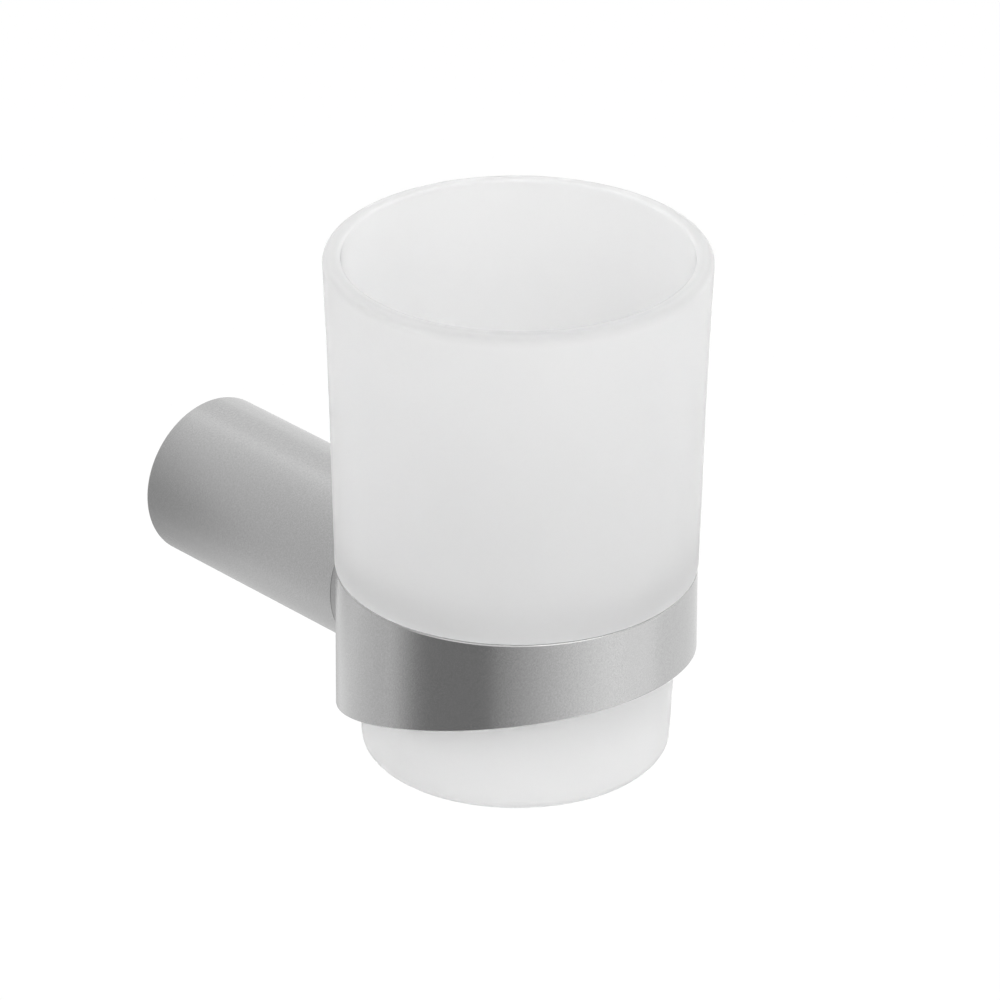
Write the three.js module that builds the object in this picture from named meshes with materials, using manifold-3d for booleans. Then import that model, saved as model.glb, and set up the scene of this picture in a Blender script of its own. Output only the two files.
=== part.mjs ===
// Wall-mounted tumbler holder: a stepped frosted glass hangs by its shoulder in a metal ring,
// and a round hollow post carries the ring and clamps over a hub on the wall.
// Millimetres, +Z up. The wall is the plane y = 0, and the holder stands out from it along -Y.
import * as THREE from 'three';
import { mergeVertices } from 'three/addons/utils/BufferGeometryUtils.js';
import Module from 'manifold-3d';

// Tumbler
const rimDiameter = 70;
const tumblerHeight = 98;
const neckLength = 36.6;
const neckDiameter = 59.8;
const neckTaper = 1.8;
const shoulderLedge = 3.1;
const glassWall = 3.3;
const glassFloor = 7;
const rimFlare = 0.5;
const rimRound = 1.5;
const lipRound = 0.5;
const shoulderRound = 1.1;
const footRound = 2.5;
const footRingWidth = 6;
const footRecess = 1.2;
const floorRound = 6;
const innerStepHeight = 14;

// Holder ring
const ringWall = 2.5;
const ringClearance = 0.5;
const ringHeightFront = 15;
const ringHeightMiddle = 22.5;
const ringHeightBack = 33;
const ringEdgeRound = 0.4;

// Post
const postDiameter = 31;
const postLength = 52.8;
const postWall = 2.5;
const postFrontWall = 6;
const postEdgeRound = 0.6;
const postFrontChamfer = 0.15;
const ringToPostGap = 0.9;
const ringTopAbovePostAxis = 14.6;

// Boss, screw and washers between the ring and the post
const bossInset = 0.2;
const spigotDiameter = 14;
const spigotShortfall = 0.8;
const screwDiameter = 6;
const screwHeadDiameter = 10;
const screwHeadHeight = 6;
const screwTipGap = 0.6;
const screwSocketAcrossFlats = 5;
const screwSocketDepth = 3;
const flatWasherDiameter = 18;
const flatWasherThickness = 1.6;
const lockWasherDiameter = 11.8;
const lockWasherThickness = 1.6;
const lockWasherSplit = 1;
const lockWasherSplitAngle = THREE.MathUtils.degToRad(25);

// Wall hub and the set screw that holds the post on it
const hubLip = 1.7;
const hubChamfer = 0.8;
const grooveDepth = 1.7;
const hubScrewHole = 4.5;
const hubScrewHead = 8.4;
const hubScrewSpacing = 13;
const setScrewFromWall = 5.5;
const setScrewDiameter = 4;
const setScrewTip = 1.6;
const setScrewInset = 0.25;
const setScrewSocketAcrossFlats = 2;
const setScrewSocketDepth = 1.6;

// Clearances and facets
const seatGap = 0.3;
const threadGap = 0.2;
const overcut = 1;
const largeFacets = 48;
const smallFacets = 24;
const arcSteps = 2;
const weldDistance = 1e-4;

// Radii and places that follow from the sizes above
const rimRadius = rimDiameter / 2;
const neckRadius = neckDiameter / 2;
const shoulderRadius = neckRadius + shoulderLedge;
const footRadius = neckRadius - neckTaper;
const rimHeight = tumblerHeight - neckLength;
const ringInnerRadius = neckRadius + ringClearance;
const ringOuterRadius = ringInnerRadius + ringWall;
const postRadius = postDiameter / 2;
const bossRadius = postRadius - bossInset;
const boreRadius = postRadius - postWall;
const postFront = -postLength;
const frontWallInside = postFront + postFrontWall;
const ringAxisY = postFront - ringToPostGap - ringOuterRadius;
const spigotRadius = spigotDiameter / 2;
const screwRadius = screwDiameter / 2;
const screwHoleRadius = screwRadius + threadGap;
const lockWasherSeat = frontWallInside + flatWasherThickness;
const screwSeat = lockWasherSeat + lockWasherThickness;
const screwTip = postFront - ringToPostGap + screwTipGap;
const hubRadius = boreRadius - seatGap;
const setScrewRadius = setScrewDiameter / 2;
const setScrewTipRadius = setScrewTip / 2;
const grooveRootHalfWidth = setScrewTipRadius + seatGap;
const grooveHalfWidth = grooveRootHalfWidth + grooveDepth;
const hubThickness = setScrewFromWall + grooveHalfWidth + hubLip;

const frostedGlass = { color: 0xe0e3e1, roughness: 0.6, metalness: 0 };
const satinMetal = { color: 0xb4b4b2, roughness: 0.42, metalness: 1 };
const fastenerSteel = { color: 0x9a9c9e, roughness: 0.35, metalness: 1 };
const castMetal = { color: 0xa8a9a8, roughness: 0.55, metalness: 1 };

const quarter = Math.PI / 2;

const wasm = await Module();
wasm.setup();

// A closed geometry as a solid that can be joined and cut.
function toSolid(geometry) {
  geometry.deleteAttribute('normal');
  geometry.deleteAttribute('uv');
  const welded = mergeVertices(geometry, weldDistance);
  const corners = welded.index.array;
  const triangles = [];
  for (let i = 0; i < corners.length; i += 3) {
    const [a, b, c] = corners.slice(i, i + 3);
    if (a !== b && b !== c && c !== a) triangles.push(a, b, c);
  }
  const vertProperties = new Float32Array(welded.attributes.position.array);
  const triVerts = new Uint32Array(triangles);
  return new wasm.Manifold(new wasm.Mesh({ numProp: 3, vertProperties, triVerts }));
}

// A named mesh of a finished solid, with a material of its own.
function toMesh(name, solid, look) {
  const { vertProperties, triVerts } = solid.getMesh();
  const geometry = new THREE.BufferGeometry();
  geometry.setAttribute('position', new THREE.BufferAttribute(vertProperties, 3));
  geometry.setIndex(new THREE.BufferAttribute(triVerts, 1));
  geometry.computeVertexNormals();
  const mesh = new THREE.Mesh(geometry, new THREE.MeshStandardMaterial(look));
  mesh.name = name;
  return mesh;
}

// A profile of radius and height turned about the post's axis, +Y.
function turned(profile, facets = largeFacets) {
  return toSolid(new THREE.LatheGeometry(profile.getPoints(arcSteps), facets));
}

// A profile of radius and height turned about an upright axis, along +Z at a place on the Y axis.
function turnedUpright(profile, facets = largeFacets, axisY = 0) {
  const geometry = new THREE.LatheGeometry(profile.getPoints(arcSteps), facets);
  return toSolid(geometry.rotateX(quarter).translate(0, axisY, 0));
}

// A closed profile with straight sides, from its corners.
function polygon(...corners) {
  const profile = new THREE.Path(corners.map(([r, h]) => new THREE.Vector2(r, h)));
  profile.closePath();
  return profile;
}

// A round or six-sided cutter along +Y, from one height to another.
function barAlongY(radius, from, to, facets = smallFacets) {
  const geometry = new THREE.CylinderGeometry(radius, radius, to - from, facets);
  return geometry.translate(0, (from + to) / 2, 0);
}

// The corner radius of a hexagon, from its width across the flats.
function hexRadius(acrossFlats) {
  return acrossFlats / Math.sqrt(3);
}

// The stepped glass. Its seat, the shoulder's underside, lies at height 0.
function makeTumbler() {
  const taper = rimRadius - shoulderRadius;
  const sideBottom = shoulderRound;
  const lipRadius = rimRadius - glassWall + lipRound;
  const sideTop = rimHeight - rimRound;
  const sideThird = (sideTop - sideBottom) / 3;
  const lowerBend = shoulderRadius + taper / 3;
  const upperBend = shoulderRadius + (2 * taper) / 3 - rimFlare;
  const recessRadius = footRadius - footRingWidth;
  const stepTop = glassWall + innerStepHeight / 2;
  const stepBottom = stepTop - innerStepHeight;
  const bodyInside = shoulderRadius - glassWall;
  const neckInside = neckRadius - glassWall;
  const footInside = footRadius - glassWall;
  const floor = glassFloor - neckLength;

  const profile = new THREE.Path();
  profile.moveTo(0, footRecess - neckLength);
  profile.quadraticCurveTo(recessRadius / 2, footRecess - neckLength, recessRadius, -neckLength);
  profile.lineTo(footRadius - footRound, -neckLength);
  profile.absarc(footRadius - footRound, footRound - neckLength, footRound, -quarter, 0, false);
  profile.lineTo(neckRadius, 0);
  profile.lineTo(shoulderRadius - shoulderRound, 0);
  profile.absarc(shoulderRadius - shoulderRound, shoulderRound, shoulderRound, -quarter, 0, false);
  profile.bezierCurveTo(
    lowerBend, sideBottom + sideThird,
    upperBend, sideTop - sideThird,
    rimRadius, sideTop,
  );
  profile.absarc(rimRadius - rimRound, sideTop, rimRound, 0, quarter, false);
  profile.absarc(lipRadius, rimHeight - lipRound, lipRound, quarter, 2 * quarter, false);
  profile.bezierCurveTo(
    upperBend - glassWall, sideTop - sideThird,
    lowerBend - glassWall, sideBottom + sideThird,
    bodyInside, stepTop,
  );
  profile.bezierCurveTo(bodyInside, glassWall, neckInside, glassWall, neckInside, stepBottom);
  profile.lineTo(footInside, floor + floorRound);
  profile.absarc(footInside - floorRound, floor + floorRound, floorRound, 0, -quarter, true);
  profile.lineTo(0, floor);
  return toMesh('tumbler', turnedUpright(profile), frostedGlass);
}

// Everything under the ring's arched lower edge, which rises from the wall side to the front.
function underRing() {
  const front = -ringOuterRadius;
  const back = ringOuterRadius;
  const below = -ringHeightBack - overcut;
  const archBend = (ringHeightFront + ringHeightBack) / 2 - 2 * ringHeightMiddle;
  const side = new THREE.Shape();
  side.moveTo(front - overcut, below);
  side.lineTo(back + overcut, below);
  side.lineTo(back + overcut, -ringHeightBack);
  side.lineTo(back, -ringHeightBack);
  side.quadraticCurveTo(0, archBend, front, -ringHeightFront);
  side.lineTo(front - overcut, -ringHeightFront);
  side.closePath();
  const width = 2 * (ringOuterRadius + overcut);
  const geometry = new THREE.ExtrudeGeometry(side, {
    depth: width,
    bevelEnabled: false,
    curveSegments: largeFacets / 4,
  });
  geometry.translate(0, 0, -width / 2);
  const alongY = new THREE.Vector3(0, 1, 0);
  const alongZ = new THREE.Vector3(0, 0, 1);
  const alongX = new THREE.Vector3(1, 0, 0);
  geometry.applyMatrix4(new THREE.Matrix4().makeBasis(alongY, alongZ, alongX));
  return toSolid(geometry);
}

// The ring that the glass hangs in. Its top face lies at height 0.
function makeHolderRing() {
  const bottom = -ringHeightBack;
  const round = ringEdgeRound;
  const profile = new THREE.Path();
  profile.moveTo(ringInnerRadius, bottom);
  profile.lineTo(ringOuterRadius, bottom);
  profile.absarc(ringOuterRadius - round, -round, round, 0, quarter, false);
  profile.absarc(ringInnerRadius + round, -round, round, quarter, 2 * quarter, false);
  profile.closePath();
  const ring = turnedUpright(profile).subtract(underRing());
  return toMesh('holder_ring', ring, satinMetal);
}

// The boss: a collar with a saddle that fits the ring, and a tapped spigot in the post's front wall.
// It rises a little over the ring, so its saddle clears the shoulder of the glass as well.
function makeRingBoss() {
  const saddleRadius = Math.max(ringOuterRadius, shoulderRadius) + seatGap;
  const saddleEdge = Math.sqrt(saddleRadius ** 2 - bossRadius ** 2);
  const end = ringAxisY + saddleEdge - overcut;
  const spigotEnd = frontWallInside - spigotShortfall;
  const boss = turned(polygon(
    [screwHoleRadius, end],
    [bossRadius, end],
    [bossRadius, postFront],
    [spigotRadius, postFront],
    [spigotRadius, spigotEnd],
    [screwHoleRadius, spigotEnd],
  ));
  const saddle = turnedUpright(polygon(
    [0, -postDiameter],
    [saddleRadius, -postDiameter],
    [saddleRadius, postDiameter],
    [0, postDiameter],
  ), largeFacets, ringAxisY);
  return toMesh('ring_boss', boss.subtract(saddle), satinMetal);
}

// The post: a cup that is open at the wall, with a spigot hole in front and a set screw hole below.
function makePost() {
  const spigotHole = spigotRadius + threadGap;
  const round = postEdgeRound;
  const profile = new THREE.Path();
  profile.moveTo(spigotHole, postFront);
  profile.lineTo(postRadius - postFrontChamfer, postFront);
  profile.lineTo(postRadius, postFront + postFrontChamfer);
  profile.lineTo(postRadius, -round);
  profile.lineTo(postRadius - round, 0);
  profile.lineTo(boreRadius + round, 0);
  profile.lineTo(boreRadius, -round);
  profile.lineTo(boreRadius, frontWallInside);
  profile.lineTo(spigotHole, frontWallInside);
  profile.closePath();
  const setScrewHole = barAlongY(setScrewRadius + threadGap, boreRadius - overcut, postRadius + overcut);
  setScrewHole.rotateX(-quarter).translate(0, -setScrewFromWall, 0);
  return toMesh('post', turned(profile).subtract(toSolid(setScrewHole)), satinMetal);
}

// The socket-head screw that draws the boss and the post together.
function makeRingScrew() {
  const headRadius = screwHeadDiameter / 2;
  const headTop = screwSeat + screwHeadHeight;
  const chamfer = screwRadius / 4;
  const screw = turned(polygon(
    [0, screwTip],
    [screwRadius - chamfer, screwTip],
    [screwRadius, screwTip + chamfer],
    [screwRadius, screwSeat],
    [headRadius, screwSeat],
    [headRadius, headTop - chamfer],
    [headRadius - chamfer, headTop],
    [0, headTop],
  ), smallFacets);
  const socketRadius = hexRadius(screwSocketAcrossFlats);
  const socket = barAlongY(socketRadius, headTop - screwSocketDepth, headTop + overcut, 6);
  return toMesh('ring_screw', screw.subtract(toSolid(socket)), fastenerSteel);
}

// A flat ring on the screw, from one place along the post to another.
function washer(diameter, from, thickness) {
  const outer = diameter / 2;
  const to = from + thickness;
  return turned(polygon(
    [screwHoleRadius, from],
    [outer, from],
    [outer, to],
    [screwHoleRadius, to],
  ), smallFacets);
}

function makeFlatWasher() {
  const body = washer(flatWasherDiameter, frontWallInside, flatWasherThickness);
  return toMesh('flat_washer', body, fastenerSteel);
}

// The spring washer, pressed flat, with its slanted split.
function makeLockWasher() {
  const body = washer(lockWasherDiameter, lockWasherSeat, lockWasherThickness);
  const reach = lockWasherDiameter;
  const split = new THREE.BoxGeometry(lockWasherSplit, 2 * lockWasherThickness + overcut, reach);
  split.rotateZ(lockWasherSplitAngle);
  split.translate(0, lockWasherSeat + lockWasherThickness / 2, reach / 2);
  return toMesh('lock_washer', body.subtract(toSolid(split)), fastenerSteel);
}

// The hub: a thick disc with a groove round it and two countersunk holes for wall screws.
function makeWallHub() {
  const root = hubRadius - grooveDepth;
  const profile = polygon(
    [0, -hubThickness],
    [hubRadius - hubChamfer, -hubThickness],
    [hubRadius, hubChamfer - hubThickness],
    [hubRadius, -setScrewFromWall - grooveHalfWidth],
    [root, -setScrewFromWall - grooveRootHalfWidth],
    [root, -setScrewFromWall + grooveRootHalfWidth],
    [hubRadius, -setScrewFromWall + grooveHalfWidth],
    [hubRadius, 0],
    [0, 0],
  );
  let hub = turned(profile);
  const headRadius = hubScrewHead / 2;
  const holeRadius = hubScrewHole / 2;
  const sinkDepth = headRadius - holeRadius;
  const sinkLength = sinkDepth + overcut;
  for (const side of [-1, 1]) {
    const x = (side * hubScrewSpacing) / 2;
    const hole = barAlongY(holeRadius, -hubThickness - overcut, overcut);
    const sink = new THREE.CylinderGeometry(holeRadius, headRadius + overcut, sinkLength, smallFacets);
    sink.translate(0, (sinkDepth - overcut) / 2 - hubThickness, 0);
    hub = hub.subtract(toSolid(hole.translate(x, 0, 0)));
    hub = hub.subtract(toSolid(sink.translate(x, 0, 0)));
  }
  return toMesh('wall_hub', hub, castMetal);
}

// The set screw under the post. Its cone reaches into the hub's groove.
function makeSetScrew() {
  const outerEnd = setScrewInset - postRadius;
  const tip = -(hubRadius - grooveDepth + seatGap);
  const coneStart = tip - (setScrewRadius - setScrewTipRadius);
  const screw = turnedUpright(polygon(
    [0, outerEnd],
    [setScrewRadius, outerEnd],
    [setScrewRadius, coneStart],
    [setScrewTipRadius, tip],
    [0, tip],
  ), smallFacets);
  const socketRadius = hexRadius(setScrewSocketAcrossFlats);
  const socket = barAlongY(socketRadius, outerEnd - overcut, outerEnd + setScrewSocketDepth, 6);
  const mesh = toMesh('set_screw', screw.subtract(toSolid(socket.rotateX(quarter))), fastenerSteel);
  mesh.position.y = -setScrewFromWall;
  return mesh;
}

// The ring and its glass stand on one upright axis, with the seat between them at height 0.
const seat = new THREE.Group();
seat.position.set(0, ringAxisY, ringTopAbovePostAxis);
seat.add(makeHolderRing(), makeTumbler());

const tumblerHolder = new THREE.Group();
tumblerHolder.add(
  makeWallHub(),
  makePost(),
  makeSetScrew(),
  makeRingBoss(),
  makeFlatWasher(),
  makeLockWasher(),
  makeRingScrew(),
  seat,
);

export default tumblerHolder;
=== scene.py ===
"""Looks of a wall-mounted tumbler holder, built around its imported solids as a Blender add-on."""

import math

import bpy
from bpy.props import FloatProperty, FloatVectorProperty, IntProperty, PointerProperty
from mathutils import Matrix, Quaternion, Vector
from mathutils.geometry import interpolate_bezier


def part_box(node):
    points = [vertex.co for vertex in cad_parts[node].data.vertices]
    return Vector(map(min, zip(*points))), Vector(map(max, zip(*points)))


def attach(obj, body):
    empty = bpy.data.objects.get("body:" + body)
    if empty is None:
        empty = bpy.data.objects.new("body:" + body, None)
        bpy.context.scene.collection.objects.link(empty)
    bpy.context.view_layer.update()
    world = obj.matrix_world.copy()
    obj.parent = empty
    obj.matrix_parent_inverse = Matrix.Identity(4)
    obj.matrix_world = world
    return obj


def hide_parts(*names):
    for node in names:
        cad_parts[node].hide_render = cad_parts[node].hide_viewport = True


bl_info = {
    "name": "Tumbler Holder",
    "version": (1, 0, 0),
    "blender": (4, 5, 0),
    "location": "3D View > Sidebar > Tumbler Holder",
    "description": "Models the glass, ring, post and fasteners of a tumbler holder over its solids",
    "category": "Add Mesh",
}

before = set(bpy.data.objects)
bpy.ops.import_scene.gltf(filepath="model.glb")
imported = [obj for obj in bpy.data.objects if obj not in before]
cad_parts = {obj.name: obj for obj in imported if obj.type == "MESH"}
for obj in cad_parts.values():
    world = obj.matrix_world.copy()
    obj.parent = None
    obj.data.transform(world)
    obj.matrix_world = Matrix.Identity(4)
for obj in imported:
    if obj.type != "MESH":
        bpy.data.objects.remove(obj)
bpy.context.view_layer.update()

MM = 0.001
TURN = 2 * math.pi
UPRIGHT = Vector((0, 0, 1))
ALONG_POST = Vector((0, 1, 0))

# Boxes of the solids, in metres. The post's axis is the frame's Y axis, and the wall is y = 0.
GLASS_LOW, GLASS_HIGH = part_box("tumbler")
_, RING_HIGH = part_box("holder_ring")
POST_LOW, POST_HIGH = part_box("post")
BOSS_LOW, BOSS_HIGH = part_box("ring_boss")
HUB_LOW, HUB_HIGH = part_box("wall_hub")
SCREW_LOW, SCREW_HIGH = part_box("ring_screw")
FLAT_WASHER_LOW, FLAT_WASHER_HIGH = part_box("flat_washer")
LOCK_WASHER_LOW, LOCK_WASHER_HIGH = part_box("lock_washer")
SET_SCREW_LOW, SET_SCREW_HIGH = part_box("set_screw")

# A point on the glass's upright axis, the height of the ring's top, which carries the glass's shoulder,
# and the place of the set screw along the post.
GLASS_AXIS = Vector((0, (GLASS_LOW.y + GLASS_HIGH.y) / 2, 0))
SEAT = RING_HIGH.z
SET_SCREW_Y = (SET_SCREW_LOW.y + SET_SCREW_HIGH.y) / 2


def linear(hex_colour):
    """An sRGB hex colour, such as #C8C8C6, as linear red, green and blue."""
    channels = [int(hex_colour[i:i + 2], 16) / 255 for i in (1, 3, 5)]
    return [c / 12.92 if c <= 0.04045 else ((c + 0.055) / 1.055) ** 2.4 for c in channels]


def length(name, default, description):
    """A size in metres that a user can change."""
    return FloatProperty(
        name=name, description=description, default=default, min=0, unit="LENGTH", precision=5
    )


def colour(name, default, description):
    """A colour that a user can change, from its sRGB hex value."""
    return FloatVectorProperty(
        name=name, description=description, default=linear(default), min=0, max=1, subtype="COLOR"
    )


class GlassSettings(bpy.types.PropertyGroup):
    """Sizes of the stepped glass."""

    rim_radius: length("Rim Radius", GLASS_HIGH.x, "Outside radius at the rim")
    neck_radius: length("Neck Radius", 29.9 * MM, "Outside radius of the neck at its top")
    neck_taper: length("Neck Taper", 1.8 * MM, "How much narrower the foot is than the neck")
    ledge: length("Ledge", 3.1 * MM, "How far the shoulder stands out over the ring")
    wall: length("Wall", 3.3 * MM, "Thickness of the glass")
    floor: length("Floor", 7 * MM, "Thickness of the floor")
    rim_flare: length("Rim Flare", 0.5 * MM, "How far the side bows in under the rim")
    rim_round: length("Rim Round", 1.5 * MM, "Rounding of the fire-polished rim outside")
    lip_round: length("Lip Round", 0.5 * MM, "Rounding of the rim inside")
    shoulder_round: length("Shoulder Round", 0.5 * MM, "Rounding of the shoulder over the ring")
    foot_round: length("Foot Round", 2.5 * MM, "Rounding of the foot's edge")
    foot_ring: length("Foot Ring", 6 * MM, "Width of the ring that the glass stands on")
    foot_recess: length("Foot Recess", 1.2 * MM, "Depth of the hollow under the foot")
    floor_round: length("Floor Round", 6 * MM, "Rounding between the floor and the wall inside")
    step_height: length("Step Height", 14 * MM, "Height of the step inside")


class RingSettings(bpy.types.PropertyGroup):
    """Sizes of the ring that the glass hangs in."""

    wall: length("Wall", 2.5 * MM, "Thickness of the ring")
    height_front: length("Height in Front", 15 * MM, "Height of the ring at the front")
    height_middle: length("Height at the Middle", 22.5 * MM, "Height of the ring at its sides")
    height_back: length("Height at the Back", 33 * MM, "Height of the ring at the post")
    edge_round: length("Edge Round", 0.4 * MM, "Rounding of the ring's edges")


class PostSettings(bpy.types.PropertyGroup):
    """Sizes of the post, the boss in front of it and the hub inside it."""

    wall: length("Wall", 2.5 * MM, "Thickness of the post's wall")
    front_wall: length("Front Wall", 6 * MM, "Thickness of the post's front wall")
    edge_round: length("Edge Round", 0.6 * MM, "Rounding of the post's edges at the wall")
    front_round: length("Front Round", 0.05 * MM, "Rounding of the post's edge at the boss")
    spigot_radius: length("Spigot Radius", 7 * MM, "Radius of the boss's spigot in the front wall")
    thread_gap: length("Thread Gap", 0.2 * MM, "Clearance round the screws and the spigot")
    seat_gap: length("Seat Gap", 0.3 * MM, "Clearance between curved pieces that seat on each other")
    hub_hole_radius: length("Hub Hole Radius", 2.25 * MM, "Radius of the holes for wall screws")
    hub_head_radius: length("Hub Head Radius", 4.2 * MM, "Radius of their countersinks")
    hub_hole_spacing: length("Hub Hole Spacing", 13 * MM, "Distance between the holes")
    groove_depth: length("Groove Depth", 1.7 * MM, "Depth of the groove that the set screw grips")


class FastenerSettings(bpy.types.PropertyGroup):
    """Sizes of the screws."""

    screw_radius: length("Screw Radius", 3 * MM, "Outside radius of the ring screw's thread")
    screw_head_height: length("Screw Head Height", 6 * MM, "Height of the ring screw's head")
    screw_key: length("Screw Key", 5 * MM, "Width across the flats of its socket")
    screw_key_depth: length("Screw Key Depth", 3 * MM, "Depth of its socket")
    set_key: length("Set Screw Key", 2 * MM, "Width across the flats of the set screw's socket")
    set_key_depth: length("Set Screw Key Depth", 1.6 * MM, "Depth of its socket")
    set_tip_radius: length("Set Screw Tip", 0.8 * MM, "Radius of the set screw's blunt tip")
    washer_split: length("Washer Split", 1 * MM, "Width of the lock washer's split")


class FinishSettings(bpy.types.PropertyGroup):
    """Colours of the finishes."""

    glass: colour("Glass", "#F8F8F8", "Etched glass")
    # A darker tint for the top and the outer rounding of the rim.
    glass_edge: colour("Glass Edge", "#F1F1F1", "Thick rim, which swallows a little light")
    satin: colour("Satin Metal", "#C8C8C8", "Bead-blasted satin metal")
    # The boss's colour is the satin metal drawn darker: painted shade for its recess between the post and
    # the ring.
    boss: colour("Boss", "#B6B6B6", "Satin metal that is darker from the heat of brazing")
    steel: colour("Fastener Steel", "#9C9EA1", "Plain stainless steel of the fasteners")
    hub: colour("Hub", "#A9AAA8", "Turned metal of the hub")
    floor: colour("Floor", "#EDEDED", "Pale studio floor")


class StageSettings(bpy.types.PropertyGroup):
    """The camera and the light."""

    azimuth: FloatProperty(
        name="Azimuth", description="Turn of the camera about the upright axis",
        default=math.radians(-42.33), subtype="ANGLE",
    )
    elevation: FloatProperty(
        name="Elevation", description="How far the camera looks down",
        default=math.radians(26.78), subtype="ANGLE",
    )
    roll: FloatProperty(
        name="Roll", description="Turn of the camera about its line of sight",
        default=math.radians(0.287), subtype="ANGLE",
    )
    distance: length("Distance", 1.3868, "From the camera to the point that it looks at")
    aim_side: FloatProperty(
        name="Aim Side", description="Aim to the right of the glass's axis, as the camera sees it",
        default=-3.06 * MM, unit="LENGTH", precision=5,
    )
    aim_height: length("Aim Height", 48.96 * MM, "Aim above the foot of the glass")
    focal_length: FloatProperty(
        name="Focal Length", description="Lens on a 36 mm sensor", default=276.3, subtype="DISTANCE_CAMERA",
    )
    floor_drop: length("Floor Drop", 0.5, "From the foot of the glass down to the floor")
    turn_steps: IntProperty(
        name="Turn Steps", description="Faces round each turned piece", default=192, min=24,
    )


class HolderSettings(bpy.types.PropertyGroup):
    """All that a user can set."""

    glass: PointerProperty(type=GlassSettings)
    ring: PointerProperty(type=RingSettings)
    post: PointerProperty(type=PostSettings)
    fasteners: PointerProperty(type=FastenerSettings)
    finish: PointerProperty(type=FinishSettings)
    stage: PointerProperty(type=StageSettings)


def settings():
    """What the user has set in this scene."""
    return bpy.context.scene.tumbler_holder


# Outlines and turned shapes

# Steps in a quarter turn of a rounding, and how far past it, as a share of its radius, a point holds the
# flat beside it.
ROUND_STEPS = 8
HOLD = 0.2

# Steps along the curves of the glass's walls and of the hollow under its foot.
WALL_STEPS = 16
RECESS_STEPS = 10

# Sides of the cutters for round holes and for the sockets of keys.
SET_SCREW_HOLE_SIDES = 64
HUB_HOLE_SIDES = 48
HEX_SIDES = 6

# Points closer than this are merged, and faces that meet at less than this are shaded as one.
MERGE = MM / 1000
SMOOTH_ANGLE = math.radians(35)

# Roundings of small edges and corners.
THREAD_ROUND = 0.1 * MM
WASHER_ROUND = 0.15 * MM
SEAT_ROUND = 0.2 * MM
SPIGOT_ROUND = 0.4 * MM
HEAD_ROUND = 0.5 * MM
HUB_FRONT_ROUND = 0.8 * MM
HUB_BACK_ROUND = 0.3 * MM
RECESS_ROUND = 0.8 * MM
NECK_ROUND = 0.3 * MM

# Chamfer at the tip of the ring screw, and slant of the lock washer's split.
TIP_CHAMFER = 0.6 * MM
SPLIT_SLANT = math.radians(25)


def rounded(corners, closed=False):
    """The points of an outline of (radius, height, rounding) corners.

    Each rounding is an arc, with a point close to either end that keeps the flats beside it flat.
    """
    points = []
    for i, (r, h, rounding) in enumerate(corners):
        corner = Vector((r, h))
        at_end = not closed and i in (0, len(corners) - 1)
        if at_end or not rounding:
            points.append(corner)
            continue
        before = (Vector(corners[i - 1][:2]) - corner).normalized()
        after = (Vector(corners[(i + 1) % len(corners)][:2]) - corner).normalized()
        half = before.angle(after) / 2
        reach = rounding / math.tan(half)
        centre = corner + (before + after).normalized() * rounding / math.sin(half)
        start = (corner + before * reach - centre).normalized()
        end = (corner + after * reach - centre).normalized()
        steps = max(2, round(ROUND_STEPS * start.angle(end) / (math.pi / 2)))
        points.append(corner + before * (reach + HOLD * rounding))
        points += [centre + rounding * start.slerp(end, k / steps) for k in range(steps + 1)]
        points.append(corner + after * (reach + HOLD * rounding))
    return points


def curve(start, bend, other_bend, end, steps):
    """Corners along a Bezier curve between two corners, without its ends."""
    points = interpolate_bezier(
        Vector((*start, 0)), Vector((*bend, 0)), Vector((*other_bend, 0)), Vector((*end, 0)), steps + 1
    )
    return [(p.x, p.y, 0) for p in points[1:-1]]


def turned(name, outline, axis=UPRIGHT, centre=Vector(), closed=False):
    """A piece turned from its outline about an axis through a centre, as on a lathe."""
    places = [centre + Vector((p.x, 0, 0)) + axis * p.y for p in outline]
    if closed:
        places.append(places[0])
    bpy.ops.object.select_all(action="DESELECT")
    bpy.ops.mesh.primitive_plane_add(size=MM, location=places[0])
    bpy.ops.object.mode_set(mode="EDIT")
    bpy.ops.mesh.merge(type="CENTER")
    for here, there in zip(places, places[1:]):
        bpy.ops.mesh.extrude_region_move(TRANSFORM_OT_translate={"value": there - here})
    bpy.ops.mesh.select_all(action="SELECT")
    bpy.ops.mesh.spin(steps=settings().stage.turn_steps, angle=TURN, center=centre, axis=axis)
    bpy.ops.mesh.select_all(action="SELECT")
    bpy.ops.mesh.remove_doubles(threshold=MERGE)
    bpy.ops.mesh.normals_make_consistent(inside=False)
    bpy.ops.object.mode_set(mode="OBJECT")
    piece = bpy.context.object
    piece.name = name
    bpy.ops.object.transform_apply(location=True, rotation=True, scale=True)
    return piece


def bar(radius, start, end, vertices, top_radius=None):
    """A round, conical or six-sided cutter from one place to another."""
    run = end - start
    bpy.ops.object.select_all(action="DESELECT")
    bpy.ops.mesh.primitive_cone_add(
        vertices=vertices,
        radius1=radius,
        radius2=radius if top_radius is None else top_radius,
        depth=run.length,
        location=(start + end) / 2,
        rotation=run.to_track_quat("Z", "Y").to_euler(),
    )
    return bpy.context.object


def cut(piece, cutter):
    """Takes a cutter out of a piece and the cutter away, and merges points that the cut doubles."""
    modifier = piece.modifiers.new("cut", "BOOLEAN")
    modifier.operation = "DIFFERENCE"
    modifier.solver = "EXACT"
    modifier.object = cutter
    bpy.context.view_layer.objects.active = piece
    bpy.ops.object.modifier_apply(modifier=modifier.name)
    bpy.data.objects.remove(cutter)
    bpy.ops.object.select_all(action="DESELECT")
    piece.select_set(True)
    bpy.ops.object.mode_set(mode="EDIT")
    bpy.ops.mesh.select_all(action="SELECT")
    bpy.ops.mesh.remove_doubles(threshold=MERGE)
    bpy.ops.object.mode_set(mode="OBJECT")


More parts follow.
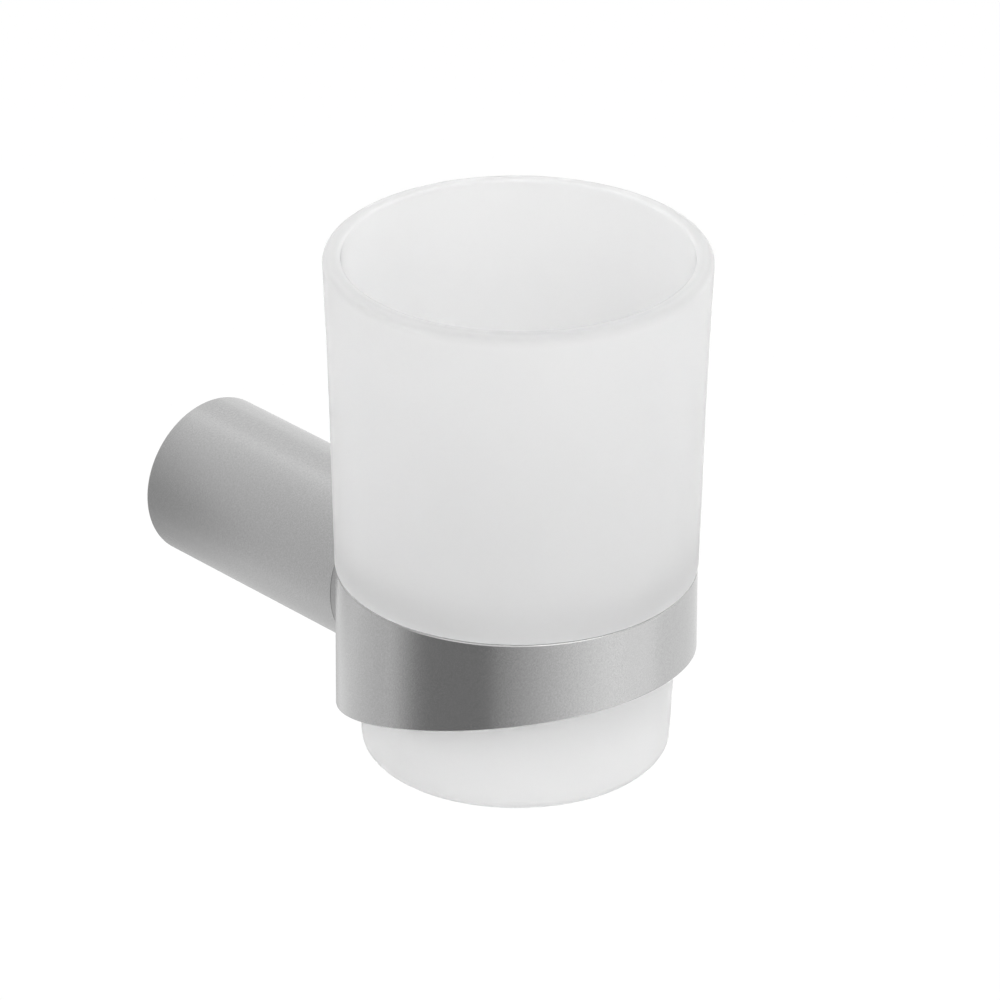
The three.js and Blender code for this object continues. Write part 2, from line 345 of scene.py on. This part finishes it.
def finish_piece(piece, node, body, material):
    """Smooths a piece, dresses it, and puts it in the place of its solid."""
    bpy.ops.object.select_all(action="DESELECT")
    piece.select_set(True)
    bpy.context.view_layer.objects.active = piece
    bpy.ops.object.shade_smooth_by_angle(angle=SMOOTH_ANGLE)
    piece.data.materials.clear()
    piece.data.materials.append(material)
    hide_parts(node)
    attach(piece, body)


# Finishes

# Sockets of a Mix node for colours, which have the names of its sockets for numbers: the two colours and
# the result.
COLOUR_A = 6
COLOUR_B = 7
COLOUR_RESULT = 2


def add_node(tree, kind, inputs=None, **options):
    """A node with its options, its values, and links from the sockets given as values."""
    made = tree.nodes.new(kind)
    for name, value in options.items():
        setattr(made, name, value)
    for name, value in (inputs or {}).items():
        if isinstance(value, bpy.types.NodeSocket):
            tree.links.new(value, made.inputs[name])
        else:
            made.inputs[name].default_value = value
    return made


def new_material(name):
    """A material with an empty node tree, or the one that is there already."""
    material = bpy.data.materials.get(name) or bpy.data.materials.new(name)
    material.use_nodes = True
    material.node_tree.nodes.clear()
    return material, material.node_tree


def etched_glass():
    """Soda-lime glass, etched with acid inside and out: milky, soft, with a fine even tooth.

    Its fire-polished rim is a little clearer, and a shade darker on its top and outer rounding.
    """
    material, tree = new_material("etched_glass")
    place = add_node(tree, "ShaderNodeTexCoord").outputs["Object"]
    # The tooth that acid leaves, about 0.05 mm, is too fine to show, so it is drawn ten times as coarse.
    tooth = add_node(tree, "ShaderNodeTexNoise", {"Vector": place, "Scale": 1 / (0.5 * MM), "Detail": 2.0})
    tooth_bump = add_node(
        tree, "ShaderNodeBump", {"Height": tooth.outputs["Fac"], "Strength": 0.05, "Distance": 0.05 * MM}
    )
    # The acid bites a little unevenly, in soft clouds about 18 mm across.
    cloud = add_node(tree, "ShaderNodeTexNoise", {"Vector": place, "Scale": 1 / (18 * MM), "Detail": 2.0})
    etch = add_node(
        tree, "ShaderNodeMapRange", {"Value": cloud.outputs["Fac"], "To Min": 0.62, "To Max": 0.7}
    )
    # The fire reaches the last 2 mm below the rim.
    rim = GLASS_HIGH.z
    height = add_node(tree, "ShaderNodeSeparateXYZ", {"Vector": place}).outputs["Z"]
    polish = add_node(
        tree, "ShaderNodeMapRange", {"Value": height, "From Min": rim - 2 * MM, "From Max": rim - 0.5 * MM}
    )
    clear = add_node(
        tree, "ShaderNodeMapRange", {"Value": polish.outputs["Result"], "To Min": 0.57, "To Max": 0.67}
    )
    # The tint begins outside the lip, so that the edge inside stays as pale as the wall.
    from_axis = add_node(tree, "ShaderNodeVectorMath", {0: place, 1: GLASS_AXIS}, operation="SUBTRACT")
    level = add_node(
        tree, "ShaderNodeVectorMath", {0: from_axis.outputs["Vector"], 1: (1, 1, 0)}, operation="MULTIPLY"
    )
    radius = add_node(tree, "ShaderNodeVectorMath", {0: level.outputs["Vector"]}, operation="LENGTH")
    lip = settings().glass.rim_radius - settings().glass.wall
    outside_lip = add_node(
        tree,
        "ShaderNodeMapRange",
        {"Value": radius.outputs["Value"], "From Min": lip + 0.4 * MM, "From Max": lip + 1.2 * MM},
    )
    # The darker tint covers the top of the rim and its outer rounding.
    outer_rim = add_node(
        tree,
        "ShaderNodeMath",
        {0: polish.outputs["Result"], 1: outside_lip.outputs["Result"]},
        operation="MULTIPLY",
    )
    finish = settings().finish
    tint = add_node(
        tree,
        "ShaderNodeMix",
        {
            "Factor": outer_rim.outputs["Value"],
            COLOUR_A: (*finish.glass, 1),
            COLOUR_B: (*finish.glass_edge, 1),
        },
        data_type="RGBA",
    )
    shader = add_node(
        tree,
        "ShaderNodeBsdfPrincipled",
        {
            "Base Color": tint.outputs[COLOUR_RESULT],
            "Roughness": etch.outputs["Result"],
            "IOR": 1.5,
            "Transmission Weight": clear.outputs["Result"],
            "Normal": tooth_bump.outputs["Normal"],
        },
    )
    add_node(tree, "ShaderNodeOutputMaterial", {"Surface": shader.outputs["BSDF"]})
    return material


def satin_metal(name, base):
    """Stainless steel, blasted with fine glass beads: a soft sheen with no lines, and a fine grit."""
    material, tree = new_material(name)
    place = add_node(tree, "ShaderNodeTexCoord").outputs["Object"]
    # The dimples that beads leave, about 0.1 mm, are too fine to show, so they are drawn three times as
    # coarse.
    grit = add_node(tree, "ShaderNodeTexNoise", {"Vector": place, "Scale": 1 / (0.3 * MM), "Detail": 3.0})
    grit_bump = add_node(
        tree, "ShaderNodeBump", {"Height": grit.outputs["Fac"], "Strength": 0.3, "Distance": 0.05 * MM}
    )
    grain = add_node(
        tree,
        "ShaderNodeMix",
        {
            "Factor": grit.outputs["Fac"],
            COLOUR_A: (*(0.84 * c for c in base), 1),
            COLOUR_B: (*(1.16 * c for c in base), 1),
        },
        data_type="RGBA",
    )
    # The blast goes over the metal in passes, so its sheen varies softly over about 9 mm.
    patch = add_node(tree, "ShaderNodeTexNoise", {"Vector": place, "Scale": 1 / (9 * MM), "Detail": 3.0})
    sheen = add_node(
        tree, "ShaderNodeMapRange", {"Value": patch.outputs["Fac"], "To Min": 0.19, "To Max": 0.23}
    )
    shader = add_node(
        tree,
        "ShaderNodeBsdfPrincipled",
        {
            "Base Color": grain.outputs[COLOUR_RESULT],
            "Metallic": 1.0,
            "Roughness": sheen.outputs["Result"],
            "Normal": grit_bump.outputs["Normal"],
        },
    )
    add_node(tree, "ShaderNodeOutputMaterial", {"Surface": shader.outputs["BSDF"]})
    return material


def turned_metal(name, base, roughness):
    """Metal straight from the lathe: fine rings from the tool, about the post's axis."""
    material, tree = new_material(name)
    place = add_node(tree, "ShaderNodeTexCoord").outputs["Object"]
    # The tool's rings, about 0.1 mm apart, are too fine to show, so they are drawn about 0.8 mm apart,
    # which is 0.31 of the length that the scale is worked out from.
    rings = add_node(
        tree,
        "ShaderNodeTexWave",
        {"Vector": place, "Scale": 1 / (2.5 * MM), "Distortion": 0.4, "Detail": 1.0},
        wave_type="RINGS",
        rings_direction="Y",
    )
    bump = add_node(
        tree, "ShaderNodeBump", {"Height": rings.outputs["Fac"], "Strength": 0.15, "Distance": 0.03 * MM}
    )
    shader = add_node(
        tree,
        "ShaderNodeBsdfPrincipled",
        {
            "Base Color": (*base, 1),
            "Metallic": 1.0,
            "Roughness": roughness,
            "Normal": bump.outputs["Normal"],
        },
    )
    add_node(tree, "ShaderNodeOutputMaterial", {"Surface": shader.outputs["BSDF"]})
    return material


# Operators


class HOLDER_OT_tumbler(bpy.types.Operator):
    """Turns the stepped glass and etches it"""

    bl_idname = "holder.tumbler"
    bl_label = "Tumbler"

    def execute(self, context):
        size = settings().glass
        rim = GLASS_HIGH.z
        foot = GLASS_LOW.z
        floor = foot + size.floor
        shoulder = size.neck_radius + size.ledge
        foot_radius = size.neck_radius - size.neck_taper
        recess_radius = foot_radius - size.foot_ring
        taper = size.rim_radius - shoulder
        side_low = SEAT + size.shoulder_round
        side_high = rim - size.rim_round
        third = (side_high - side_low) / 3
        low_bend = shoulder + taper / 3
        high_bend = shoulder + 2 * taper / 3 - size.rim_flare
        step_high = SEAT + size.wall + size.step_height / 2
        step_middle = SEAT + size.wall
        step_low = step_high - size.step_height
        outside = curve(
            (shoulder, side_low), (low_bend, side_low + third),
            (high_bend, side_high - third), (size.rim_radius, side_high), WALL_STEPS,
        )
        inside = curve(
            (size.rim_radius - size.wall, side_high), (high_bend - size.wall, side_high - third),
            (low_bend - size.wall, side_low + third), (shoulder - size.wall, step_high), WALL_STEPS,
        )
        step = curve(
            (shoulder - size.wall, step_high), (shoulder - size.wall, step_middle),
            (size.neck_radius - size.wall, step_middle), (size.neck_radius - size.wall, step_low),
            WALL_STEPS,
        )
        recess = curve(
            (0, foot + size.foot_recess), (recess_radius / 2, foot + size.foot_recess),
            (recess_radius * 0.8, foot + size.foot_recess / 3), (recess_radius, foot), RECESS_STEPS,
        )
        outline = rounded([
            (0, foot + size.foot_recess, 0),
            *recess,
            (recess_radius, foot, RECESS_ROUND),
            (foot_radius, foot, size.foot_round),
            (size.neck_radius, SEAT, NECK_ROUND),
            (shoulder, SEAT, size.shoulder_round),
            *outside,
            (size.rim_radius, rim, size.rim_round),
            (size.rim_radius - size.wall, rim, size.lip_round),
            *inside,
            (shoulder - size.wall, step_high, 0),
            *step,
            (size.neck_radius - size.wall, step_low, 0),
            (foot_radius - size.wall, floor, size.floor_round),
            (0, floor, 0),
        ])
        glass = turned("frosted_glass", outline, centre=GLASS_AXIS)
        finish_piece(glass, "tumbler", "tumbler", etched_glass())
        return {"FINISHED"}


class HOLDER_OT_ring(bpy.types.Operator):
    """Turns the ring and arches its lower edge"""

    bl_idname = "holder.ring"
    bl_label = "Holder Ring"

    def execute(self, context):
        size = settings().ring
        outer = RING_HIGH.x
        inner = outer - size.wall
        bottom = SEAT - size.height_middle
        outline = rounded([
            (inner, bottom, size.edge_round),
            (outer, bottom, size.edge_round),
            (outer, SEAT, size.edge_round),
            (inner, SEAT, size.edge_round),
        ], closed=True)
        ring = turned("satin_ring", outline, centre=GLASS_AXIS, closed=True)
        rise = (size.height_back - size.height_front) / 2
        bow = (size.height_back + size.height_front) / 2 - size.height_middle
        # No operator bows an edge to a curve, so the points of the lower edge are moved one by one.
        for corner in ring.data.vertices:
            if corner.co.z < bottom + 2 * size.edge_round:
                along = (corner.co.y - GLASS_AXIS.y) / outer
                corner.co.z -= rise * along + bow * along ** 2
        steel = satin_metal("bead_blasted_steel", settings().finish.satin)
        finish_piece(ring, "holder_ring", "holder", steel)
        return {"FINISHED"}


class HOLDER_OT_post(bpy.types.Operator):
    """Turns the hollow post and drills the hole of its set screw"""

    bl_idname = "holder.post"
    bl_label = "Post"

    def execute(self, context):
        size = settings().post
        outer = POST_HIGH.x
        bore = outer - size.wall
        front = POST_LOW.y
        inside = front + size.front_wall
        spigot_hole = size.spigot_radius + size.thread_gap
        small_round = size.edge_round / 3
        outline = rounded([
            (spigot_hole, front, small_round),
            (outer, front, size.front_round),
            (outer, POST_HIGH.y, size.edge_round),
            (bore, POST_HIGH.y, size.edge_round),
            (bore, inside, small_round),
            (spigot_hole, inside, small_round),
        ], closed=True)
        post = turned("satin_post", outline, axis=ALONG_POST, closed=True)
        hole_radius = SET_SCREW_HIGH.x + size.thread_gap
        below = Vector((0, SET_SCREW_Y, -1.1 * outer))
        inside_bore = Vector((0, SET_SCREW_Y, -0.7 * outer))
        cut(post, bar(hole_radius, below, inside_bore, SET_SCREW_HOLE_SIDES))
        steel = satin_metal("bead_blasted_steel", settings().finish.satin)
        finish_piece(post, "post", "holder", steel)
        return {"FINISHED"}


class HOLDER_OT_boss(bpy.types.Operator):
    """Turns the boss and cuts its saddle to the ring"""

    bl_idname = "holder.boss"
    bl_label = "Ring Boss"

    def execute(self, context):
        size = settings().post
        screw = settings().fasteners
        hole = screw.screw_radius + size.thread_gap
        outer = POST_HIGH.x - size.front_round
        # The blank reaches past the saddle's tips, so that the cut of the saddle makes its whole front.
        blank_front = BOSS_LOW.y - MM
        outline = rounded([
            (hole, blank_front, 0),
            (outer, blank_front, 0),
            (outer, POST_LOW.y, size.front_round),
            (size.spigot_radius, POST_LOW.y, SEAT_ROUND),
            (size.spigot_radius, BOSS_HIGH.y, SPIGOT_ROUND),
            (hole, BOSS_HIGH.y, SPIGOT_ROUND),
        ], closed=True)
        boss = turned("satin_boss", outline, axis=ALONG_POST, closed=True)
        glass = settings().glass
        saddle = max(RING_HIGH.x, glass.neck_radius + glass.ledge) + size.seat_gap
        reach = Vector((0, 0, 2 * outer))
        steps = settings().stage.turn_steps
        cut(boss, bar(saddle, GLASS_AXIS - reach, GLASS_AXIS + reach, steps))
        # The boss is the same blasted steel as the post, with its colour darkened as painted shade for its
        # recess against the ring.
        steel = satin_metal("blasted_steel_painted_shade", settings().finish.boss)
        finish_piece(boss, "ring_boss", "holder", steel)
        return {"FINISHED"}


class HOLDER_OT_hub(bpy.types.Operator):
    """Turns the wall hub with its groove and countersinks its two screw holes"""

    bl_idname = "holder.hub"
    bl_label = "Wall Hub"

    def execute(self, context):
        size = settings().post
        tip = settings().fasteners.set_tip_radius
        outer = HUB_HIGH.x
        root = outer - size.groove_depth
        root_half = tip + size.seat_gap
        groove_half = root_half + size.groove_depth
        outline = rounded([
            (0, HUB_LOW.y, 0),
            (outer, HUB_LOW.y, HUB_FRONT_ROUND),
            (outer, SET_SCREW_Y - groove_half, SEAT_ROUND),
            (root, SET_SCREW_Y - root_half, SEAT_ROUND),
            (root, SET_SCREW_Y + root_half, SEAT_ROUND),
            (outer, SET_SCREW_Y + groove_half, SEAT_ROUND),
            (outer, HUB_HIGH.y, HUB_BACK_ROUND),
            (0, HUB_HIGH.y, 0),
        ])
        hub = turned("wall_hub_disc", outline, axis=ALONG_POST)
        sink = size.hub_head_radius - size.hub_hole_radius
        past = sink / 2
        for side in (-1, 1):
            place = Vector((side * size.hub_hole_spacing / 2, 0, 0))
            back = place + ALONG_POST * MM
            front = place + ALONG_POST * (HUB_LOW.y - MM)
            face = place + ALONG_POST * HUB_LOW.y
            cut(hub, bar(size.hub_hole_radius, front, back, HUB_HOLE_SIDES))
            # The cone is at 45 degrees. It starts in front of the face and ends inside the hole.
            mouth = face - ALONG_POST * sink
            cone_end = face + ALONG_POST * (sink + past)
            sinker = bar(
                size.hub_head_radius + sink, mouth, cone_end, HUB_HOLE_SIDES, size.hub_hole_radius - past
            )
            cut(hub, sinker)
        steel = turned_metal("turned_hub_metal", settings().finish.hub, 0.38)
        finish_piece(hub, "wall_hub", "holder", steel)
        return {"FINISHED"}


class HOLDER_OT_fasteners(bpy.types.Operator):
    """Turns the ring screw, its two washers and the set screw"""

    bl_idname = "holder.fasteners"
    bl_label = "Fasteners"

    def execute(self, context):
        steel = turned_metal("plain_fastener_steel", settings().finish.steel, 0.3)
        self.ring_screw(steel)
        self.washers(steel)
        self.set_screw(steel)
        return {"FINISHED"}

    def ring_screw(self, steel):
        """A cap screw with a hex socket in its head."""
        size = settings().fasteners
        head = SCREW_HIGH.x
        seat = SCREW_HIGH.y - size.screw_head_height
        outline = rounded([
            (0, SCREW_LOW.y, 0),
            (size.screw_radius - TIP_CHAMFER, SCREW_LOW.y, THREAD_ROUND),
            (size.screw_radius, SCREW_LOW.y + TIP_CHAMFER, THREAD_ROUND),
            (size.screw_radius, seat, THREAD_ROUND),
            (head, seat, SEAT_ROUND),
            (head, SCREW_HIGH.y, HEAD_ROUND),
            (0, SCREW_HIGH.y, 0),
        ])
        screw = turned("ring_cap_screw", outline, axis=ALONG_POST)
        top = ALONG_POST * SCREW_HIGH.y
        bottom = top - ALONG_POST * size.screw_key_depth
        cut(screw, bar(size.screw_key / math.sqrt(3), bottom, top + ALONG_POST * MM, HEX_SIDES))
        finish_piece(screw, "ring_screw", "holder", steel)

    def washers(self, steel):
        """The plain washer, and the spring washer between it and the screw's head."""
        hole = settings().fasteners.screw_radius + settings().post.thread_gap
        for name, node, low, high in (
            ("plain_washer", "flat_washer", FLAT_WASHER_LOW, FLAT_WASHER_HIGH),
            ("spring_washer", "lock_washer", LOCK_WASHER_LOW, LOCK_WASHER_HIGH),
        ):
            outline = rounded([
                (hole, low.y, WASHER_ROUND),
                (high.x, low.y, WASHER_ROUND),
                (high.x, high.y, WASHER_ROUND),
                (hole, high.y, WASHER_ROUND),
            ], closed=True)
            washer = turned(name, outline, axis=ALONG_POST, closed=True)
            if node == "lock_washer":
                self.split(washer, (low.y + high.y) / 2, high.x)
            finish_piece(washer, node, "holder", steel)

    def split(self, washer, middle, reach):
        """Cuts the slanted split of the spring washer."""
        bpy.ops.object.select_all(action="DESELECT")
        bpy.ops.mesh.primitive_cube_add(
            size=1,
            location=(0, middle, reach),
            rotation=(0, 0, SPLIT_SLANT),
            scale=(settings().fasteners.washer_split, reach, 2 * reach),
        )
        cut(washer, bpy.context.object)

    def set_screw(self, steel):
        """A grub screw with a hex socket in its lower end and a blunt tip."""
        size = settings().fasteners
        radius = SET_SCREW_HIGH.x
        cone = radius - size.set_tip_radius
        outline = rounded([
            (0, SET_SCREW_LOW.z, 0),
            (radius, SET_SCREW_LOW.z, SEAT_ROUND),
            (radius, SET_SCREW_HIGH.z - cone, THREAD_ROUND),
            (size.set_tip_radius, SET_SCREW_HIGH.z, THREAD_ROUND),
            (0, SET_SCREW_HIGH.z, 0),
        ])
        centre = Vector((0, SET_SCREW_Y, 0))
        screw = turned("grub_screw", outline, centre=centre)
        end = centre + UPRIGHT * SET_SCREW_LOW.z
        bottom = end + UPRIGHT * size.set_key_depth
        cut(screw, bar(size.set_key / math.sqrt(3), end - UPRIGHT * MM, bottom, HEX_SIDES))
        finish_piece(screw, "set_screw", "holder", steel)


# Width of the floor in metres, and the glow that makes it white where it is seen.
FLOOR_SIZE = 8
FLOOR_GLOW = 0.15


class HOLDER_OT_stage(bpy.types.Operator):
    """Sets the floor, the light and the camera"""

    bl_idname = "holder.stage"
    bl_label = "Stage"

    def execute(self, context):
        context.scene.view_settings.view_transform = "Standard"
        self.floor()
        self.world(context.scene)
        self.cards()
        self.lamps()
        self.camera(context.scene)
        return {"FINISHED"}

    def shown(self, tree):
        """One for rays from the camera, off a shine or through glass, and nought for soft light."""
        rays = add_node(tree, "ShaderNodeLightPath")
        shown = rays.outputs["Is Camera Ray"]
        for kind in ("Is Glossy Ray", "Is Transmission Ray"):
            shown = add_node(
                tree, "ShaderNodeMath", {0: shown, 1: rays.outputs[kind]}, operation="MAXIMUM"
            ).outputs["Value"]
        return shown

    def direction(self, azimuth, elevation):
        """A direction from the glass, turned from the camera to its right and up from level."""
        turn = settings().stage.azimuth + math.radians(azimuth)
        level = math.cos(math.radians(elevation))
        return Vector((
            math.sin(turn) * level, -math.cos(turn) * level, math.sin(math.radians(elevation)),
        ))

    def floor(self):
        """A matt painted board: an even pale ground that keeps the object's shadow."""
        stage = settings().stage
        bpy.ops.object.select_all(action="DESELECT")
        bpy.ops.mesh.primitive_plane_add(
            size=FLOOR_SIZE, location=(0, 0, GLASS_LOW.z - stage.floor_drop)
        )
        floor = bpy.context.object
        floor.name = "studio_floor"
        material, tree = new_material("pale_floor")
        paint = add_node(
            tree, "ShaderNodeBsdfDiffuse", {"Color": (*settings().finish.floor, 1), "Roughness": 0.5}
        )
        lift = add_node(tree, "ShaderNodeEmission", {"Strength": FLOOR_GLOW})
        both = add_node(tree, "ShaderNodeAddShader")
        tree.links.new(paint.outputs["BSDF"], both.inputs[0])
        tree.links.new(lift.outputs["Emission"], both.inputs[1])
        seen = add_node(tree, "ShaderNodeMixShader", {"Fac": self.shown(tree)})
        tree.links.new(paint.outputs["BSDF"], seen.inputs[1])
        tree.links.new(both.outputs["Shader"], seen.inputs[2])
        add_node(tree, "ShaderNodeOutputMaterial", {"Surface": seen.outputs["Shader"]})
        floor.data.materials.append(material)

    def world(self, scene):
        """Even white light from all around."""
        world = bpy.data.worlds.new("white_studio")
        world.use_nodes = True
        tree = world.node_tree
        tree.nodes.clear()
        light = add_node(tree, "ShaderNodeBackground", {"Color": (1, 1, 1, 1), "Strength": 1.0})
        add_node(tree, "ShaderNodeOutputWorld", {"Surface": light.outputs["Background"]})
        scene.world = world

    def cards(self):
        """Panels and a flag out of the picture, which the metal and the gloss of the glass mirror."""
        # Place from the glass, width and height, light at one side and at the other, and the share of the
        # width in which the one passes into the other.
        around = {
            "side_panel": (self.direction(-113, 12) * 0.5, (1.1, 1.3), (0.92, 0.53), 1),
            "dark_panel": (self.direction(-50, -28) * 0.5, (0.7, 0.62), (0.68, 0.225), 0.45),
            "front_panel": (self.direction(20, -28) * 0.5, (0.9, 0.62), (0.25, 1.06), 1),
            "right_panel": (self.direction(130, -20) * 0.5, (0.56, 0.7), (0.88, 0.88), 1),
            "back_panel": (self.direction(-174, 28) * 0.7, (0.5, 0.34), (0.84, 0.84), 1),
            "far_panel": (self.direction(174, -6) * 0.7, (0.6, 0.4), (0.9, 0.9), 1),
        }
        for name, (away, size, light, reach) in around.items():
            self.panel(name, GLASS_AXIS + away, size, -away, light, reach)
        up = UPRIGHT - 0.1 * ALONG_POST
        self.panel("floor_panel", Vector((0.13, 0.5, -0.48)), (1.2, 0.5), up, (0.52, 0.71), 0.45)
        self.flag("wall_end_flag", Vector((-0.022, 0.01, -0.008)), (0.09, 0.088), -ALONG_POST, 0.58)

    def sheet(self, name, place, size, facing):
        """Adds a flat sheet that no camera sees and that casts no shadow, and gives its empty node tree."""
        bpy.ops.object.select_all(action="DESELECT")
        bpy.ops.mesh.primitive_plane_add(size=2, location=place)
        sheet = bpy.context.object
        sheet.name = name
        sheet.scale = (size[0] / 2, size[1] / 2, 1)
        sheet.rotation_euler = facing.to_track_quat("Z", "Y").to_euler()
        sheet.visible_camera = False
        sheet.visible_diffuse = False
        sheet.visible_transmission = False
        sheet.visible_shadow = False
        material, tree = new_material(name + "_light")
        sheet.data.materials.append(material)
        return tree

    def panel(self, name, place, size, facing, light, reach):
        """A lit panel, graded from one light to another within a share of its width."""
        tree = self.sheet(name, place, size, facing)
        spot = add_node(tree, "ShaderNodeTexCoord").outputs["Object"]
        grade = add_node(
            tree,
            "ShaderNodeMapRange",
            {
                "Value": add_node(tree, "ShaderNodeSeparateXYZ", {"Vector": spot}).outputs["X"],
                "From Min": 1,
                "From Max": 1 - 2 * reach,
                "To Min": light[0],
                "To Max": light[1],
            },
            interpolation_type="SMOOTHSTEP",
        )
        glow = add_node(tree, "ShaderNodeEmission", {"Strength": grade.outputs["Result"]})
        add_node(tree, "ShaderNodeOutputMaterial", {"Surface": glow.outputs["Emission"]})

    def flag(self, name, place, size, facing, clear):
        """A black net that is partly clear in its middle, and fades out towards its edge."""
        tree = self.sheet(name, place, size, facing)
        spot = add_node(tree, "ShaderNodeTexCoord").outputs["Object"]
        away = add_node(tree, "ShaderNodeVectorMath", {0: spot}, operation="LENGTH")
        fade = add_node(
            tree,
            "ShaderNodeMapRange",
            {"Value": away.outputs["Value"], "To Min": clear, "To Max": 1},
            interpolation_type="SMOOTHSTEP",
        )
        black = add_node(tree, "ShaderNodeEmission", {"Strength": 0})
        nothing = add_node(tree, "ShaderNodeBsdfTransparent")
        net = add_node(
            tree,
            "ShaderNodeMixShader",
            {0: fade.outputs["Result"], 1: black.outputs["Emission"], 2: nothing.outputs["BSDF"]},
        )
        add_node(tree, "ShaderNodeOutputMaterial", {"Surface": net.outputs["Shader"]})

    def lamps(self):
        """A soft lamp to the right, and a strip over the post that draws a streak along it."""
        self.lamp("soft_key", GLASS_AXIS + self.direction(40, 52) * 1.2, 0.8, 0.8, 2)
        self.lamp("post_strip", Vector((0.238, 0.735, 0.8)), 0.015, 0.7, 0.08)

    def lamp(self, name, place, width, run, power):
        """A rectangular lamp that faces the frame's origin."""
        bpy.ops.object.light_add(type="AREA", location=place)
        lamp = bpy.context.object
        lamp.name = name
        lamp.data.shape = "RECTANGLE"
        lamp.data.size = width
        lamp.data.size_y = run
        lamp.data.energy = power
        lamp.visible_camera = False
        lamp.rotation_euler = place.to_track_quat("Z", "Y").to_euler()

    def camera(self, scene):
        """A long lens at the photograph's viewing angle."""
        stage = settings().stage
        side = Vector((math.cos(stage.azimuth), math.sin(stage.azimuth), 0))
        aim = GLASS_AXIS + side * stage.aim_side + UPRIGHT * (GLASS_LOW.z + stage.aim_height)
        towards = self.direction(0, math.degrees(stage.elevation))
        bpy.ops.object.camera_add(location=aim + towards * stage.distance)
        camera = bpy.context.object
        camera.name = "photo_camera"
        camera.rotation_mode = "QUATERNION"
        camera.rotation_quaternion = towards.to_track_quat("Z", "Y") @ Quaternion((0, 0, 1), stage.roll)
        camera.data.sensor_width = 36
        camera.data.lens = stage.focal_length
        camera.data.clip_start = 0.01
        scene.camera = camera


class HOLDER_PT_panel(bpy.types.Panel):
    """Lists the pieces and their sizes"""

    bl_idname = "HOLDER_PT_panel"
    bl_label = "Tumbler Holder"
    bl_space_type = "VIEW_3D"
    bl_region_type = "UI"
    bl_category = "Tumbler Holder"

    def draw(self, context):
        for operator in OPERATORS:
            self.layout.operator(operator.bl_idname)
        for group in HolderSettings.__annotations__:
            box = self.layout.box()
            box.label(text=group.title())
            held = getattr(settings(), group)
            for name in held.__annotations__:
                box.prop(held, name)


GROUPS = (
    GlassSettings, RingSettings, PostSettings, FastenerSettings, FinishSettings, StageSettings,
    HolderSettings,
)
OPERATORS = (
    HOLDER_OT_tumbler, HOLDER_OT_ring, HOLDER_OT_post, HOLDER_OT_boss, HOLDER_OT_hub,
    HOLDER_OT_fasteners, HOLDER_OT_stage,
)
CLASSES = (*GROUPS, *OPERATORS, HOLDER_PT_panel)


def register():
    for item in CLASSES:
        bpy.utils.register_class(item)
    bpy.types.Scene.tumbler_holder = PointerProperty(type=HolderSettings)


def unregister():
    del bpy.types.Scene.tumbler_holder
    for item in reversed(CLASSES):
        bpy.utils.unregister_class(item)


def main():
    """Builds the pieces and the stage."""
    register()
    bpy.ops.holder.tumbler()
    bpy.ops.holder.ring()
    bpy.ops.holder.post()
    bpy.ops.holder.boss()
    bpy.ops.holder.hub()
    bpy.ops.holder.fasteners()
    bpy.ops.holder.stage()


if __name__ == "__main__":
    main()
